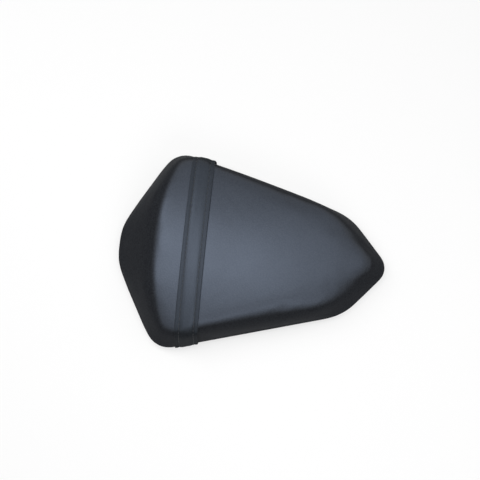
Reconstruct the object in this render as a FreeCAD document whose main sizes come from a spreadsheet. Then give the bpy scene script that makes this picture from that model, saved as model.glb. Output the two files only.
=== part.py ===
"""Motorcycle rear seat: a ribbed plastic base, a moulded foam cushion, a vinyl cover drawn over
both, a grab strap bolted across the front, a latch striker and rubber bumpers.

Frame: +X to the tail, +Y to the left, +Z up, in millimetres. The origin is on the plane that the
rubber bumpers stand on, half way along the seat.
"""
import FreeCAD, Part
import collections
import os
import Sketcher

# Driving sizes: millimetres, and degrees for every draft, turn and sweep
SIZES = {
    # Plan of the cover at its lower edge, before its corners are rounded
    "overall_length": 325,
    "nose_half_width": 19.5,
    "chevron_depth": 59,
    "half_width": 124,
    "tail_half_width": 61,
    "tail_depth": 53,
    # Lean of the faces from vertical
    "nose_draft": 39,
    "front_draft": 22,
    "side_draft": 12,
    "tail_draft": 27,
    # Rounding of the edges between those faces
    "nose_radius": 42,
    "corner_radius": 27,
    "tail_radius": 60,
    "tip_radius": 24,
    # Crown of the seat, and the bevelled shoulder where it turns down into the faces
    "crest_setback": 102,
    "crest_height": 75,
    "profile_radius": 720,
    "crown_radius": 350,
    "crown_sweep": 90,
    "shoulder_bevel": 6,
    "shoulder_turn": 60,
    # Cover
    "vinyl": 1.2,
    "lip_width": 12,
    "fit_gap": 0.3,
    "press_gap": 0.1,
    # Base
    "pan_level": 13,
    "flange_thickness": 3.5,
    "deck_inset": 30,
    "deck_height": 10,
    "deck_radius": 12,
    "wall": 3,
    "rib_thickness": 2.2,
    "rib_pitch_across": 30,
    "rib_pitch_along": 34,
    "rib_setback": 62,
    # Front tongue
    "tongue_width": 44,
    "tongue_thickness": 4,
    "tongue_setback": 10,
    "tongue_length": 36,
    "tongue_clearance": 3,
    "tongue_radius": 5,
    # Grab strap and its fastenings
    "strap_setback": 95,
    "strap_width": 27,
    "strap_thickness": 2.6,
    "strap_end_margin": 11,
    "strap_bolt_inset": 43,
    "boss_radius": 8,
    "insert_radius": 4.3,
    "insert_length": 9,
    "bolt_radius": 2.9,
    "bolt_clearance": 0.2,
    "strap_bolt_length": 14,
    "strap_head_radius": 5.5,
    "strap_head_height": 3.6,
    "socket_across_flats": 4,
    "socket_depth": 2,
    "strap_washer_radius": 9,
    "strap_washer_thickness": 1.5,
    # Latch striker
    "striker_setback": 87,
    "bracket_length": 38,
    "bracket_width": 62,
    "bracket_thickness": 3,
    "ear_length": 18,
    "ear_half_gap": 12.5,
    "ear_radius": 5,
    "pin_radius": 3,
    "pin_level": 6.5,
    "pin_margin": 2,
    "pin_overhang": 1,
    "striker_bolt_across": 46,
    "bay_margin": 4,
    "striker_head_radius": 7,
    "striker_head_height": 2.4,
    "nut_across_flats": 10,
    "nut_height": 5,
    "bolt_end": 1,
    # Rubber bumpers
    "bumper_radius": 9,
    "bumper_foot_radius": 7.5,
    "bumper_foot_height": 2.5,
    "bumper_inset": 22,
    "bumper_stem_radius": 3.5,
    "bumper_stem_rise": 4,
    "front_bumper_y": 68,
    "rear_bumper_setback": 82,
    # How far cutting solids run past what they cut
    "overrun": 2,
}
# Slack for telling where an edge or a face lies
SLACK = 0.01

doc = FreeCAD.newDocument("rear_seat")
sizes = doc.addObject("Spreadsheet::Sheet", "sizes")
for row, (alias, number) in enumerate(SIZES.items(), 1):
    sizes.set(f"A{row}", alias)
    sizes.set(f"B{row}", str(number))
    sizes.setAlias(f"B{row}", alias)
doc.recompute()

# Levels and stations that follow from the sizes, as expressions over the sheet
FRONT_FACE = "sqrt(sizes.chevron_depth^2 + (sizes.half_width - sizes.nose_half_width)^2)"
FRONT_SLOPE = "(sizes.chevron_depth / (sizes.half_width - sizes.nose_half_width))"
TAIL_FACE = "sqrt(sizes.tail_depth^2 + sizes.tail_half_width^2)"
# The tip's rounding is a cylinder along the leaning edge between the two tail faces
TIP_TURN = f"cos(sizes.tail_draft) * sizes.tail_depth / {TAIL_FACE}"
TIP_LEAN = f"atan(tan(sizes.tail_draft) * {TAIL_FACE} / sizes.tail_half_width)"
TIP_CUT = f"sizes.tip_radius * (1 / sqrt(1 - ({TIP_TURN})^2) - 1) / cos({TIP_LEAN})"
NOSE_X = "(-sizes.overall_length / 2)"
# Where the two front faces would meet without the nose face
APEX_X = f"({NOSE_X} - sizes.nose_half_width * {FRONT_SLOPE})"
CORNER_X = f"({NOSE_X} + sizes.chevron_depth)"
TIP_X = f"(sizes.overall_length / 2 + {TIP_CUT})"
TAIL_X = f"({TIP_X} - sizes.tail_depth)"
SIDE_RUN = f"({TAIL_X} - {CORNER_X})"
SIDE_FACE = f"sqrt({SIDE_RUN}^2 + (sizes.half_width - sizes.tail_half_width)^2)"
COVER_BASE = "(sizes.pan_level - sizes.vinyl)"
FLANGE_TOP = "(sizes.pan_level + sizes.flange_thickness)"
DECK_TOP = f"({FLANGE_TOP} + sizes.deck_height)"
DECK_UNDERSIDE = f"({DECK_TOP} - sizes.wall)"
FOAM_OFFSET = "(sizes.vinyl + sizes.fit_gap)"
STRAP_X = f"({NOSE_X} + sizes.strap_setback)"
STRAP_SEAT = f"({COVER_BASE} - sizes.fit_gap)"
STRAP_UNDERSIDE = f"({STRAP_SEAT} - sizes.strap_thickness)"
STRIKER_X = "(sizes.overall_length / 2 - sizes.striker_setback)"
BRACKET_UNDERSIDE = f"({DECK_UNDERSIDE} - sizes.bracket_thickness)"
BOLT_HOLE = "(sizes.bolt_radius + sizes.bolt_clearance)"

Corner = collections.namedtuple("Corner", "x y face rounding")

# Corners of the cover's outline in order, each with the face that runs on from it and its rounding
OUTLINE = [
    Corner(NOSE_X, "sizes.nose_half_width", "nose", "nose"),
    Corner(NOSE_X, "-sizes.nose_half_width", "front", "nose"),
    Corner(CORNER_X, "-sizes.half_width", "side", "corner"),
    Corner(TAIL_X, "-sizes.tail_half_width", "tail", "tail"),
    Corner(TIP_X, "0", "tail", "tip"),
    Corner(TAIL_X, "sizes.tail_half_width", "side", "tail"),
    Corner(CORNER_X, "sizes.half_width", "front", "corner"),
]
FACES = ["nose", "front", "side", "tail"]
ROUNDINGS = ["nose", "corner", "tail", "tip"]


def value(rule):
    """Number that an expression over the sheet gives."""
    return float(sizes.evalExpression(rule))


def bind(item, rules):
    """Tie an object's properties to expressions over the sheet."""
    for prop, rule in rules.items():
        item.setExpression(prop, rule)
    return item


def at(x, y, z):
    """Placement rules for a point."""
    return {"Placement.Base.x": x, "Placement.Base.y": y, "Placement.Base.z": z}


def side_y(x, inset):
    """Distance from the middle to a line that runs a set inset within a long side."""
    slope = f"(sizes.half_width - sizes.tail_half_width) / {SIDE_RUN}"
    return f"(sizes.half_width - ({x} - {CORNER_X}) * {slope} - {inset} * {SIDE_FACE} / {SIDE_RUN})"


# Sketches

def attach(body, name, role, level="0"):
    """Empty sketch on one of a body's origin planes, raised to a level."""
    sketch = body.newObject("Sketcher::SketchObject", name)
    plane = next(item for item in body.Origin.OriginFeatures if item.Role == role)
    sketch.AttachmentSupport = (plane, [""])
    sketch.MapMode = "FlatFace"
    sketch.setExpression("AttachmentOffset.Base.z", level)
    return sketch


def add_loop(sketch, points, construction=False):
    """Closed loop of lines, each joined to the next; gives the number of the first line."""
    first = sketch.GeometryCount
    count = len(points)
    for index, point in enumerate(points):
        line = Part.LineSegment(point, points[(index + 1) % count])
        sketch.addGeometry(line, construction)
    for index in range(count):
        following = first + (index + 1) % count
        sketch.addConstraint(Sketcher.Constraint("Coincident", first + index, 2, following, 1))
    return first


def pin(sketch, limit, rule):
    """Add a sketch's constraint and tie its value to an expression."""
    index = sketch.addConstraint(limit)
    sketch.setExpression(f"Constraints[{index}]", rule)


def pin_point(sketch, geometry, vertex, x, y):
    """Fix a point of a sketch by its two coordinates, each tied to an expression."""
    for kind, rule in (("DistanceX", x), ("DistanceY", y)):
        pin(sketch, Sketcher.Constraint(kind, -1, 1, geometry, vertex, value(rule)), rule)


def polygon(body, name, role, points, level="0"):
    """Sketch of one closed outline with straight sides through the given points."""
    sketch = attach(body, name, role, level)
    first = add_loop(sketch, [FreeCAD.Vector(value(x), value(y), 0) for x, y in points])
    for index, (x, y) in enumerate(points):
        pin_point(sketch, first + index, 1, x, y)
    return sketch


def rectangle(half_length, half_width):
    """Corner points of a rectangle about the origin."""
    return [(f"-{half_length}", f"-{half_width}"), (half_length, f"-{half_width}"),
            (half_length, half_width), (f"-{half_length}", half_width)]


def hexagon(across_flats):
    """Corner points of a hexagon about the origin."""
    reach = f"{across_flats} / sqrt(3)"
    return [(f"{reach} * cos({60 * turn})", f"{reach} * sin({60 * turn})") for turn in range(6)]


def circle(body, name, role, radius, x="0", y="0", level="0"):
    """Sketch of one circle."""
    sketch = attach(body, name, role, level)
    centre = FreeCAD.Vector(value(x), value(y), 0)
    sketch.addGeometry(Part.Circle(centre, FreeCAD.Vector(0, 0, 1), value(radius)), False)
    pin_point(sketch, 0, 3, x, y)
    pin(sketch, Sketcher.Constraint("Radius", 0, value(radius)), radius)
    return sketch


def outline_corners():
    """Corners of the cover's outline as points."""
    return [FreeCAD.Vector(value(corner.x), value(corner.y), 0) for corner in OUTLINE]


def moved_corners(insets):
    """Corners of the outline once each side has moved inwards by the inset of its face.

    A side with no inset is left out, and its neighbours run on until they meet.
    """
    corners = outline_corners()
    lines = []
    for index, corner in enumerate(OUTLINE):
        if corner.face in insets:
            along = (corners[(index + 1) % len(corners)] - corners[index]).normalize()
            inward = FreeCAD.Vector(-along.y, along.x, 0)
            lines.append((corners[index] + inward * value(insets[corner.face]), along))
    moved = []
    for index, (point, along) in enumerate(lines):
        before, before_along = lines[index - 1]
        gap = point - before
        turn = before_along.x * along.y - before_along.y * along.x
        reach = (gap.x * along.y - gap.y * along.x) / turn
        moved.append(before + before_along * reach)
    return moved


def seat_outline(body, name, level, insets):
    """Sketch of the seat's outline with its sides parallel to the cover's, each at its inset."""
    sketch = attach(body, name, "XY_Plane", level)
    guide = add_loop(sketch, outline_corners(), construction=True)
    for index, corner in enumerate(OUTLINE):
        pin_point(sketch, guide + index, 1, corner.x, corner.y)
    kept = [index for index, corner in enumerate(OUTLINE) if corner.face in insets]
    drawn = add_loop(sketch, moved_corners(insets))
    for side, index in enumerate(kept, drawn):
        inset = insets[OUTLINE[index].face]
        sketch.addConstraint(Sketcher.Constraint("Parallel", side, guide + index))
        limit = Sketcher.Constraint("Distance", side, 1, guide + index, abs(value(inset)))
        pin(sketch, limit, f"abs({inset})")
    doc.recompute()
    return sketch


def level_outline(body, name, level, inset):
    """Sketch of the seat's outline at one inset all round."""
    return seat_outline(body, name, level, {face: inset for face in FACES})


# Features

def extrude(kind, body, sketch, name, length, settings):
    """Pad or pocket of a sketch."""
    feature = body.newObject(f"PartDesign::{kind}", name)
    feature.Profile = sketch
    for prop, setting in settings.items():
        setattr(feature, prop, setting)
    bind(feature, {"Length": length})
    doc.recompute()
    return feature


def pad(body, sketch, name, length, **settings):
    """Boss of a sketch, straight up from its plane unless the settings say otherwise."""
    return extrude("Pad", body, sketch, name, length, settings)


def pocket(body, sketch, name, length, **settings):
    """Cut of a sketch, along its plane's normal when reversed."""
    return extrude("Pocket", body, sketch, name, length, settings)


def fillet(body, base, name, names, radius):
    """Rounding of named edges of the feature before."""
    feature = body.newObject("PartDesign::Fillet", name)
    feature.Base = (base, names)
    bind(feature, {"Radius": radius})
    doc.recompute()
    return feature


def bevel(body, base, name, names, size):
    """Bevel round named faces of the feature before."""
    feature = body.newObject("PartDesign::Chamfer", name)
    feature.Base = (base, names)
    bind(feature, {"Size": size})
    doc.recompute()
    return feature


def spin(body, sketch, name):
    """Full turn of a sketch about its vertical axis."""
    feature = body.newObject("PartDesign::Revolution", name)
    feature.Profile = sketch
    feature.ReferenceAxis = (sketch, ["V_Axis"])
    feature.Angle = 360
    doc.recompute()
    return feature


def face_names(shape, test):
    """Names of the faces that pass a test."""
    return [f"Face{index}" for index, face in enumerate(shape.Faces, 1) if test(face)]


def edge_names(shape, test):
    """Names of the edges that pass a test."""
    return [f"Edge{index}" for index, edge in enumerate(shape.Edges, 1) if test(edge)]


def touches(shape, points):
    """Whether a shape passes through any of the points."""
    return any(shape.distToShape(Part.Vertex(point))[0] < SLACK for point in points)


def stands(item):
    """Whether an edge or a face leaves its level."""
    return item.BoundBox.ZLength > SLACK


def is_upright(edge):
    """Whether an edge runs straight up."""
    return edge.BoundBox.XLength + edge.BoundBox.YLength < SLACK


# The cushion's form, which the cover, foam, base and strap all follow

def leaning_block(body, name, base, offset, height):
    """Block on the seat's outline with its faces leant in and the edges between them rounded.

    The offset is measured square to every face, inwards from the outside of the cover.
    """
    rise = f"({base} - {COVER_BASE})"
    insets = {face: f"({rise} * tan(sizes.{face}_draft) + {offset} / cos(sizes.{face}_draft))"
              for face in FACES}
    drafted = [face for face in FACES if face != "nose"]
    if offset == "0":
        points = [(corner.x, corner.y) for corner in OUTLINE if corner.rounding != "nose"]
        sketch = polygon(body, f"{name}_outline", "XY_Plane", [(APEX_X, "0")] + points, base)
    else:
        sketch = seat_outline(body, f"{name}_outline", base, {face: insets[face] for face in drafted})
    feature = pad(body, sketch, f"{name}_block", height)
    lift = FreeCAD.Vector(0, 0, value(base))
    corners = [corner + lift for corner in moved_corners(insets)]
    middles = [(start + end) / 2 for start, end in zip(corners, corners[1:] + corners[:1])]
    for kind in drafted:
        feet = [middle for middle, corner in zip(middles, OUTLINE) if corner.face == kind]
        leaning = face_names(feature.Shape, lambda face: stands(face) and touches(face, feet))
        floor = face_names(feature.Shape, lambda face: face.BoundBox.ZMax < lift.z + SLACK)
        draft = body.newObject("PartDesign::Draft", f"{name}_{kind}_draft")
        draft.Base = (feature, leaning)
        draft.NeutralPlane = (feature, floor)
        bind(draft, {"Angle": f"sizes.{kind}_draft"})
        doc.recompute()
        feature = draft
    # The nose leans back further than the rest, so it is sliced off the finished chevron
    foot_x = f"({NOSE_X} + {insets['nose']})"
    front = f"({APEX_X} - sizes.chevron_depth)"
    low = f"({base} - sizes.overrun)"
    high = f"({base} + {height} + sizes.overrun)"
    low_x = f"({foot_x} - sizes.overrun * tan(sizes.nose_draft))"
    high_x = f"({foot_x} + ({height} + sizes.overrun) * tan(sizes.nose_draft))"
    profile = [(front, low), (low_x, low), (high_x, high), (front, high)]
    slice_outline = polygon(body, f"{name}_nose_profile", "XZ_Plane", profile)
    feature = pocket(body, slice_outline, f"{name}_nose", "2 * sizes.half_width", Midplane=True)
    for kind in ROUNDINGS:
        feet = [point for point, corner in zip(corners, OUTLINE) if corner.rounding == kind]
        edges = edge_names(feature.Shape, lambda edge: stands(edge)
                           and any(touches(vertex, feet) for vertex in edge.Vertexes))
        feature = fillet(body, feature, f"{name}_{kind}_rounding", edges, f"sizes.{kind}_radius - {offset}")
    return feature


def cushion_form(name, base, offset):
    """Solid of the whole cushion, parallel to the outside of the cover at an offset."""
    body = doc.addObject("PartDesign::Body", name)
    crest = f"(sizes.crest_height - {offset})"
    leaning_block(body, name, base, offset, f"({crest} - {base} + sizes.overrun)")
    radius = f"(sizes.crown_radius - {offset})"
    reach_y = "(sizes.half_width + sizes.overrun)"
    roof = "(2 * sizes.crest_height)"
    profile = attach(body, f"{name}_crown_profile", "YZ_Plane", f"{NOSE_X} + sizes.crest_setback")
    centre_z = f"({crest} - {radius})"
    half_run = value(reach_y)
    edge_z = value(centre_z) + (value(radius) ** 2 - half_run ** 2) ** 0.5
    left = FreeCAD.Vector(half_run, edge_z, 0)
    right = FreeCAD.Vector(-half_run, edge_z, 0)
    left_top = FreeCAD.Vector(half_run, value(roof), 0)
    right_top = FreeCAD.Vector(-half_run, value(roof), 0)
    profile.addGeometry(Part.Arc(left, FreeCAD.Vector(0, value(crest), 0), right), False)
    profile.addGeometry(Part.LineSegment(right, right_top), False)
    profile.addGeometry(Part.LineSegment(right_top, left_top), False)
    profile.addGeometry(Part.LineSegment(left_top, left), False)
    for index in range(4):
        profile.addConstraint(Sketcher.Constraint("Coincident", index, 2, (index + 1) % 4, 1))
    pin_point(profile, 0, 3, "0", centre_z)
    pin(profile, Sketcher.Constraint("Radius", 0, value(radius)), radius)
    pin_point(profile, 2, 1, f"-{reach_y}", roof)
    pin_point(profile, 2, 2, reach_y, roof)
    profile.addConstraint(Sketcher.Constraint("Vertical", 1))
    profile.addConstraint(Sketcher.Constraint("Vertical", 3))
    # The arc across the seat turns about an axle far below it, which bends the crown lengthwise
    axle_z = "(sizes.crest_height - sizes.profile_radius)"
    axle = [FreeCAD.Vector(-half_run, value(axle_z), 0), FreeCAD.Vector(half_run, value(axle_z), 0)]
    profile.addGeometry(Part.LineSegment(*axle), True)
    pin_point(profile, 4, 1, f"-{reach_y}", axle_z)
    pin_point(profile, 4, 2, reach_y, axle_z)
    doc.recompute()
    crown = body.newObject("PartDesign::Groove", f"{name}_crown")
    crown.Profile = profile
    crown.ReferenceAxis = (profile, ["Axis0"])
    crown.Midplane = True
    bind(crown, {"Angle": "sizes.crown_sweep"})
    doc.recompute()
    highest = max(face.CenterOfMass.z for face in crown.Shape.Faces)
    top = face_names(crown.Shape, lambda face: face.CenterOfMass.z == highest)
    # A bevel that stays parallel to its neighbour's grows with the offset, by the turn it spans
    growth = "tan(sizes.shoulder_turn / 4) / cos(sizes.shoulder_turn / 2)"
    bevel(body, crown, f"{name}_shoulder", top, f"sizes.shoulder_bevel - {offset} * {growth}")
    return body


def boolean(kind, name, base, tool):
    """Part::Cut or Part::Common of two objects."""
    result = doc.addObject(f"Part::{kind}", name)
    result.Base = base
    result.Tool = tool
    return result


def union(name, parts):
    """Several overlapping or touching objects as one solid."""
    result = doc.addObject("Part::MultiFuse", name)
    result.Shapes = parts
    result.Refine = True
    return result


def group(name, parts):
    """Several separate solids under one name."""
    result = doc.addObject("Part::Compound", name)
    result.Links = parts
    return result


def on_both_sides(name, source):
    """Group of two: a fastening on the left and its mirror image."""
    image = doc.addObject("Part::Mirroring", f"{name}_right")
    image.Source = source
    image.Normal = FreeCAD.Vector(0, 1, 0)
    return group(name, [source, image])


def box(name, length, width, height, x, y, z):
    """Block that stands on a level, centred on a point of the plan."""
    rules = {"Length": length, "Width": width, "Height": height}
    rules.update(at(f"{x} - {length} / 2", f"{y} - {width} / 2", z))
    return bind(doc.addObject("Part::Box", name), rules)


def cylinder(name, radius, height, x, y, z):
    """Upright cylinder that stands on a level."""
    rules = {"Radius": radius, "Height": height}
    rules.update(at(x, y, z))
    return bind(doc.addObject("Part::Cylinder", name), rules)


def level_prism(name, inset, base, height):
    """Upright block on the seat's outline at one inset all round, with the deck's corners."""
    body = doc.addObject("PartDesign::Body", name)
    block = pad(body, level_outline(body, f"{name}_outline", base, inset), f"{name}_block", height)
    fillet(body, block, f"{name}_corners", edge_names(block.Shape, is_upright), "sizes.deck_radius")
    return body


def ring(name, radius, bore, height, x, y, z):
    """Flat ring: a washer or a plain bush."""
    body = doc.addObject("PartDesign::Body", name)
    pad(body, circle(body, f"{name}_outer", "XY_Plane", radius), f"{name}_disc", height)
    inner = circle(body, f"{name}_inner", "XY_Plane", bore)
    pocket(body, inner, f"{name}_bore", height, Reversed=True)
    return bind(body, at(x, y, z))


# Places of the repeated fastenings

REAR_BUMPER_X = "(sizes.overall_length / 2 - sizes.rear_bumper_setback)"
BUMPERS = {
    "front": (
        f"({NOSE_X} + (sizes.front_bumper_y - sizes.nose_half_width) * {FRONT_SLOPE}"
        f" + sizes.bumper_inset * {FRONT_FACE} / (sizes.half_width - sizes.nose_half_width))",
        "sizes.front_bumper_y",
    ),
    "rear": (REAR_BUMPER_X, side_y(REAR_BUMPER_X, "sizes.bumper_inset")),
}
SIDES = {"left": "1", "right": "-1"}
STRAP_BOLT_Y = side_y(STRAP_X, "sizes.strap_bolt_inset")
STRIKER_BOLT_Y = "(sizes.striker_bolt_across / 2)"


def bumper_places():
    """Name, X and Y of every rubber bumper."""
    return [(f"{end}_{side}", x, f"{sign} * {y}")
            for end, (x, y) in BUMPERS.items() for side, sign in SIDES.items()]


# Sub-parts

def make_cover():
    """Vinyl skin over the whole cushion, turned under the base in a lip."""
    outside = cushion_form("cover_outside", COVER_BASE, "0")
    inside = cushion_form("cover_inside", "sizes.pan_level", "sizes.vinyl")
    opening = level_prism("cover_opening", "sizes.lip_width", f"{COVER_BASE} - sizes.overrun",
                          "sizes.vinyl + 2 * sizes.overrun")
    skin = boolean("Cut", "cover_skin", outside, inside)
    return boolean("Cut", "seat_cover", skin, opening)


def make_foam():
    """Cushion, hollowed below to sit over the base's deck and what stands up from it."""
    form = cushion_form("foam_form", FLANGE_TOP, FOAM_OFFSET)
    low = f"{FLANGE_TOP} - sizes.overrun"
    reliefs = [level_prism("foam_recess", "(sizes.deck_inset - sizes.fit_gap)", low,
                           "sizes.deck_height + sizes.overrun")]
    for place, x, y in bumper_places():
        reliefs.append(cylinder(f"foam_relief_{place}", "sizes.bumper_stem_radius + sizes.fit_gap",
                                "sizes.bumper_stem_rise + sizes.fit_gap + sizes.overrun", x, y, low))
    head = cylinder("foam_relief_head", "sizes.striker_head_radius + sizes.fit_gap",
                    "sizes.striker_head_height + sizes.fit_gap + sizes.overrun",
                    STRIKER_X, STRIKER_BOLT_Y, f"{DECK_TOP} - sizes.overrun")
    reliefs.append(on_both_sides("foam_relief_heads", head))
    return boolean("Cut", "foam_cushion", form, union("foam_hollow", reliefs))


def make_base_shell():
    """Flange, raised deck and front tongue as one moulding, hollow below."""
    body = doc.addObject("PartDesign::Body", "base_shell")
    leaning_block(body, "base_flange", "sizes.pan_level", FOAM_OFFSET,
                  "(sizes.crest_height - sizes.pan_level)")
    whole_plan = rectangle("sizes.overall_length", "sizes.half_width")
    above = polygon(body, "base_flange_level", "XY_Plane", whole_plan, FLANGE_TOP)
    pocket(body, above, "base_flange_cut", "sizes.crest_height", Reversed=True)
    outline = level_outline(body, "base_deck_outline", "sizes.pan_level", "sizes.deck_inset")
    deck = pad(body, outline, "base_deck", f"{DECK_TOP} - sizes.pan_level")
    upright = edge_names(deck.Shape, lambda edge: is_upright(edge)
                         and edge.BoundBox.ZMax > value(DECK_TOP) - SLACK)
    fillet(body, deck, "base_deck_corners", upright, "sizes.deck_radius")
    outline = level_outline(body, "base_hollow_outline", "sizes.pan_level", "(sizes.deck_inset + sizes.wall)")
    pocket(body, outline, "base_hollow", f"{DECK_UNDERSIDE} - sizes.pan_level", Reversed=True)
    # The tongue hangs from the flange and points forward under the seat's nose
    tip = f"({NOSE_X} + sizes.tongue_setback)"
    heel = f"({tip} + sizes.tongue_length)"
    inner_heel = f"({heel} - sizes.tongue_thickness)"
    low = "sizes.tongue_clearance"
    high = f"({low} + sizes.tongue_thickness)"
    points = [(tip, low), (heel, low), (heel, FLANGE_TOP), (inner_heel, FLANGE_TOP),
              (inner_heel, high), (tip, high)]
    profile = polygon(body, "base_tongue_profile", "XZ_Plane", points)
    tongue = pad(body, profile, "base_tongue", "sizes.tongue_width", Midplane=True)
    ends = edge_names(tongue.Shape, lambda edge: is_upright(edge) and edge.BoundBox.ZMax < value(COVER_BASE)
                      and edge.BoundBox.XMax < value(tip) + SLACK)
    fillet(body, tongue, "base_tongue_corners", ends, "sizes.tongue_radius")
    return body


def make_ribs():
    """Crossing ribs under the deck, left out where the striker's bracket is bolted on."""
    height = f"({DECK_UNDERSIDE} - sizes.pan_level)"
    level = "sizes.pan_level"
    ribs = []
    for index in (-2, -1, 0, 1, 2):
        ribs.append(box(f"rib_along_{index + 2}", "sizes.overall_length", "sizes.rib_thickness", height,
                        "0", f"{index} * sizes.rib_pitch_across", level))
    for index in range(6):
        ribs.append(box(f"rib_across_{index}", "sizes.rib_thickness", "2 * sizes.half_width", height,
                        f"({NOSE_X} + sizes.rib_setback + {index} * sizes.rib_pitch_along)", "0", level))
    hollow = level_prism("rib_limit", "(sizes.deck_inset + sizes.wall / 2)", level, height)
    lattice = boolean("Common", "rib_lattice", union("rib_crossings", ribs), hollow)
    bay = box("striker_bay", "(sizes.bracket_length + 2 * sizes.bay_margin)",
              "(sizes.bracket_width + 2 * sizes.bay_margin)", height, STRIKER_X, "0", level)
    return boolean("Cut", "rib_work", lattice, bay)


def make_base():
    """Moulded base with its ribs, strap bosses and holes."""
    boss = cylinder("strap_boss_left", "sizes.boss_radius", f"{DECK_UNDERSIDE} - {STRAP_SEAT}",
                    STRAP_X, STRAP_BOLT_Y, STRAP_SEAT)
    bosses = on_both_sides("strap_bosses", boss)
    solid = union("base_solid", [make_base_shell(), make_ribs(), bosses])
    insert = cylinder("insert_hole_left", "sizes.insert_radius + sizes.press_gap",
                      "sizes.insert_length + 2 * sizes.overrun", STRAP_X, STRAP_BOLT_Y,
                      f"{STRAP_SEAT} - sizes.overrun")
    bolt = cylinder("striker_bolt_hole", BOLT_HOLE, "sizes.wall + 2 * sizes.overrun",
                    STRIKER_X, STRIKER_BOLT_Y, f"{DECK_UNDERSIDE} - sizes.overrun")
    holes = [on_both_sides("insert_holes", insert), on_both_sides("striker_bolt_holes", bolt)]
    for place, x, y in bumper_places():
        holes.append(cylinder(f"bumper_hole_{place}", "sizes.bumper_stem_radius + sizes.press_gap",
                              "sizes.flange_thickness + 2 * sizes.overrun", x, y,
                              "sizes.pan_level - sizes.overrun"))
    return boolean("Cut", "seat_base", solid, union("base_holes", holes))


def make_strap():
    """Band over the cushion whose ends turn under the base to the bosses."""
    outside = cushion_form("strap_outside", STRAP_UNDERSIDE, "(-sizes.fit_gap - sizes.strap_thickness)")
    inside = cushion_form("strap_inside", STRAP_SEAT, "(-sizes.fit_gap)")
    band = box("strap_band", "sizes.strap_width", "4 * sizes.half_width", "2 * sizes.crest_height",
               STRAP_X, "0", "-sizes.overrun")
    loop = boolean("Cut", "strap_loop", boolean("Common", "strap_slice", outside, band), inside)
    low = f"{STRAP_UNDERSIDE} - sizes.overrun"
    depth = "(sizes.strap_thickness + 2 * sizes.overrun)"
    span = f"(2 * ({STRAP_BOLT_Y} - sizes.strap_end_margin))"
    middle = box("strap_middle", "(sizes.strap_width + 2 * sizes.overrun)", span, depth, STRAP_X, "0", low)
    hole = cylinder("strap_hole_left", BOLT_HOLE, depth, STRAP_X, STRAP_BOLT_Y, low)
    cuts = union("strap_cuts", [middle, on_both_sides("strap_holes", hole)])
    return boolean("Cut", "grab_strap", loop, cuts)


def make_strap_fastenings():
    """Threaded inserts, washers and socket bolts that hold the strap's two ends."""
    insert = ring("insert_left", "sizes.insert_radius", BOLT_HOLE, "sizes.insert_length",
                  STRAP_X, STRAP_BOLT_Y, STRAP_SEAT)
    washer_level = f"{STRAP_UNDERSIDE} - sizes.strap_washer_thickness"
    washer = ring("strap_washer_left", "sizes.strap_washer_radius", BOLT_HOLE,
                  "sizes.strap_washer_thickness", STRAP_X, STRAP_BOLT_Y, washer_level)
    bolt = doc.addObject("PartDesign::Body", "strap_bolt_left")
    underside = "-sizes.strap_head_height"
    points = [("0", underside), ("sizes.strap_head_radius", underside), ("sizes.strap_head_radius", "0"),
              ("sizes.bolt_radius", "0"), ("sizes.bolt_radius", "sizes.strap_bolt_length"),
              ("0", "sizes.strap_bolt_length")]
    spin(bolt, polygon(bolt, "strap_bolt_profile", "XZ_Plane", points), "strap_bolt_turned")
    socket = polygon(bolt, "strap_bolt_socket_outline", "XY_Plane",
                     hexagon("sizes.socket_across_flats"), underside)
    pocket(bolt, socket, "strap_bolt_socket", "sizes.socket_depth", Reversed=True)
    bind(bolt, at(STRAP_X, STRAP_BOLT_Y, washer_level))
    return [on_both_sides("strap_inserts", insert), on_both_sides("strap_washers", washer),
            on_both_sides("strap_bolts", bolt)]


def make_bracket():
    """Plate bolted under the deck with two ears that carry the striker's pin."""
    body = doc.addObject("PartDesign::Body", "striker_bracket")
    plate = rectangle("sizes.bracket_length / 2", "sizes.bracket_width / 2")
    pad(body, polygon(body, "bracket_outline", "XY_Plane", plate), "bracket_plate", "sizes.bracket_thickness")
    depth = f"({BRACKET_UNDERSIDE} - sizes.pin_level + sizes.pin_radius + sizes.pin_margin)"
    half = "sizes.ear_length / 2"
    for side, sign in SIDES.items():
        near = f"{sign} * sizes.ear_half_gap"
        far = f"{sign} * (sizes.ear_half_gap + sizes.bracket_thickness)"
        outline = polygon(body, f"ear_{side}_outline", "XY_Plane",
                          [(f"-{half}", near), (half, near), (half, far), (f"-{half}", far)])
        ears = pad(body, outline, f"ear_{side}", depth, Reversed=True)
    ends = edge_names(ears.Shape, lambda edge: edge.BoundBox.ZMax < SLACK - value(depth)
                      and edge.BoundBox.XLength < SLACK)
    fillet(body, ears, "ear_corners", ends, "sizes.ear_radius")
    eye = circle(body, "pin_eye", "XZ_Plane", "sizes.pin_radius + sizes.press_gap",
                 y=f"sizes.pin_level - {BRACKET_UNDERSIDE}")
    pocket(body, eye, "pin_bore", "sizes.bracket_width", Midplane=True)
    for side, sign in SIDES.items():
        hole = circle(body, f"bracket_hole_{side}_edge", "XY_Plane", BOLT_HOLE, y=f"{sign} * {STRIKER_BOLT_Y}")
        pocket(body, hole, f"bracket_hole_{side}", "sizes.bracket_thickness", Reversed=True)
    return bind(body, at(STRIKER_X, "0", BRACKET_UNDERSIDE))


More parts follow.
